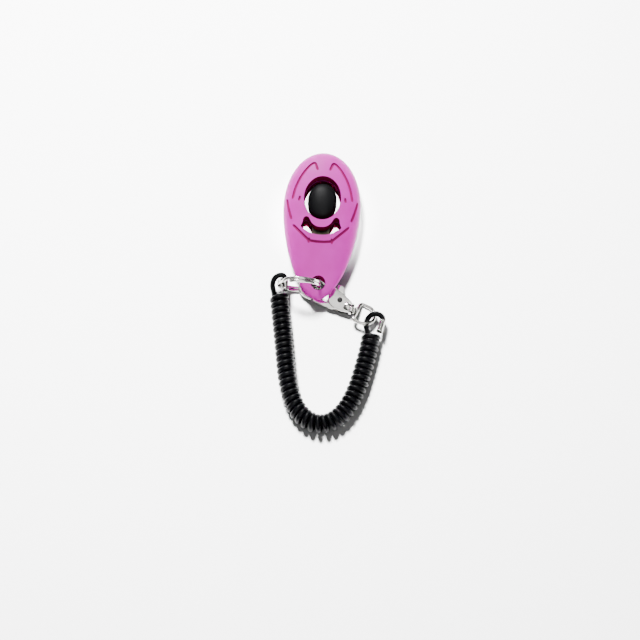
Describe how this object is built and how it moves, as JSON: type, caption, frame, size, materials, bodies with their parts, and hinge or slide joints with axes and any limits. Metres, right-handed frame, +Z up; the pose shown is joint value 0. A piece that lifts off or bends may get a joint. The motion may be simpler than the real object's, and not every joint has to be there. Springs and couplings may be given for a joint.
{
  "type": "clicker trainer",
  "caption": "Pet training clicker with a thumb button over a snap spring in an egg-shaped casing, and a curly wrist strap joined by a split ring and a trigger snap.",
  "frame": {"origin": "middle of the casing's underside, with the clicker lying on its back", "axes": "+X across the casing to the right, +Y along the casing towards its head end, +Z up from the underside to the button side"},
  "size_m": [0.0516, 0.1274, 0.0193],
  "materials": {
    "casing": "satin moulded",
    "button": "matte",
    "spring": "bright rolled",
    "screws": "zinc plated",
    "nickel": "bright nickel",
    "cord": "semi-gloss moulded"
  },
  "bodies": {
    "clicker": {"front_shell": "casing", "rear_shell": "casing", "click_spring": "spring", "spring_clamp": "screws", "left_screw": "screws", "right_screw": "screws", "spring_screw": "screws"},
    "button": {"button_cap": "button", "button_retainer": "button", "button_rivet": "screws"},
    "strap": {"cord_coil": "cord", "cord_loop_left": "cord", "cord_loop_right": "cord", "crimp_left": "nickel", "crimp_right": "nickel", "snap_body": "nickel", "gate_pin": "nickel", "gate_spring": "spring"},
    "ring": {"key_ring": "nickel"},
    "eye": {"swivel_eye": "nickel"},
    "gate": {"snap_gate": "nickel"}
  },
  "joints": [
    {"name": "button_press", "type": "hinge", "parent": "clicker", "child": "button", "pos_m": [0, -0.006, 0.0064], "axis": [1, 0, 0], "range_deg": [-5, 0], "stiffness_Nm_per_rad": 0.6, "springref_deg": 1.15, "deforming": ["click_spring"]},
    {"name": "strap_swing", "type": "hinge", "parent": "clicker", "child": "strap", "pos_m": [0, -0.0269, 0.0079], "axis": [0, 0, 1], "range_deg": [-8, 12]},
    {"name": "ring_turn", "type": "hinge", "parent": "strap", "child": "ring", "pos_m": [-0.0082, -0.0281, 0.0098], "axis": [0, -0.9986, -0.0523], "continuous": true},
    {"name": "eye_swivel", "type": "hinge", "parent": "strap", "child": "eye", "pos_m": [0.0154, -0.0361, 0.00295], "axis": [-0.9272, 0.3746, 0], "range_deg": [-8, 2]},
    {"name": "gate_open", "type": "hinge", "parent": "strap", "child": "gate", "pos_m": [0.00992, -0.03259, 0.00295], "axis": [0, 0, -1], "range_deg": [0, 12], "stiffness_Nm_per_rad": 0.05, "springref_deg": -5.73}
  ]
}
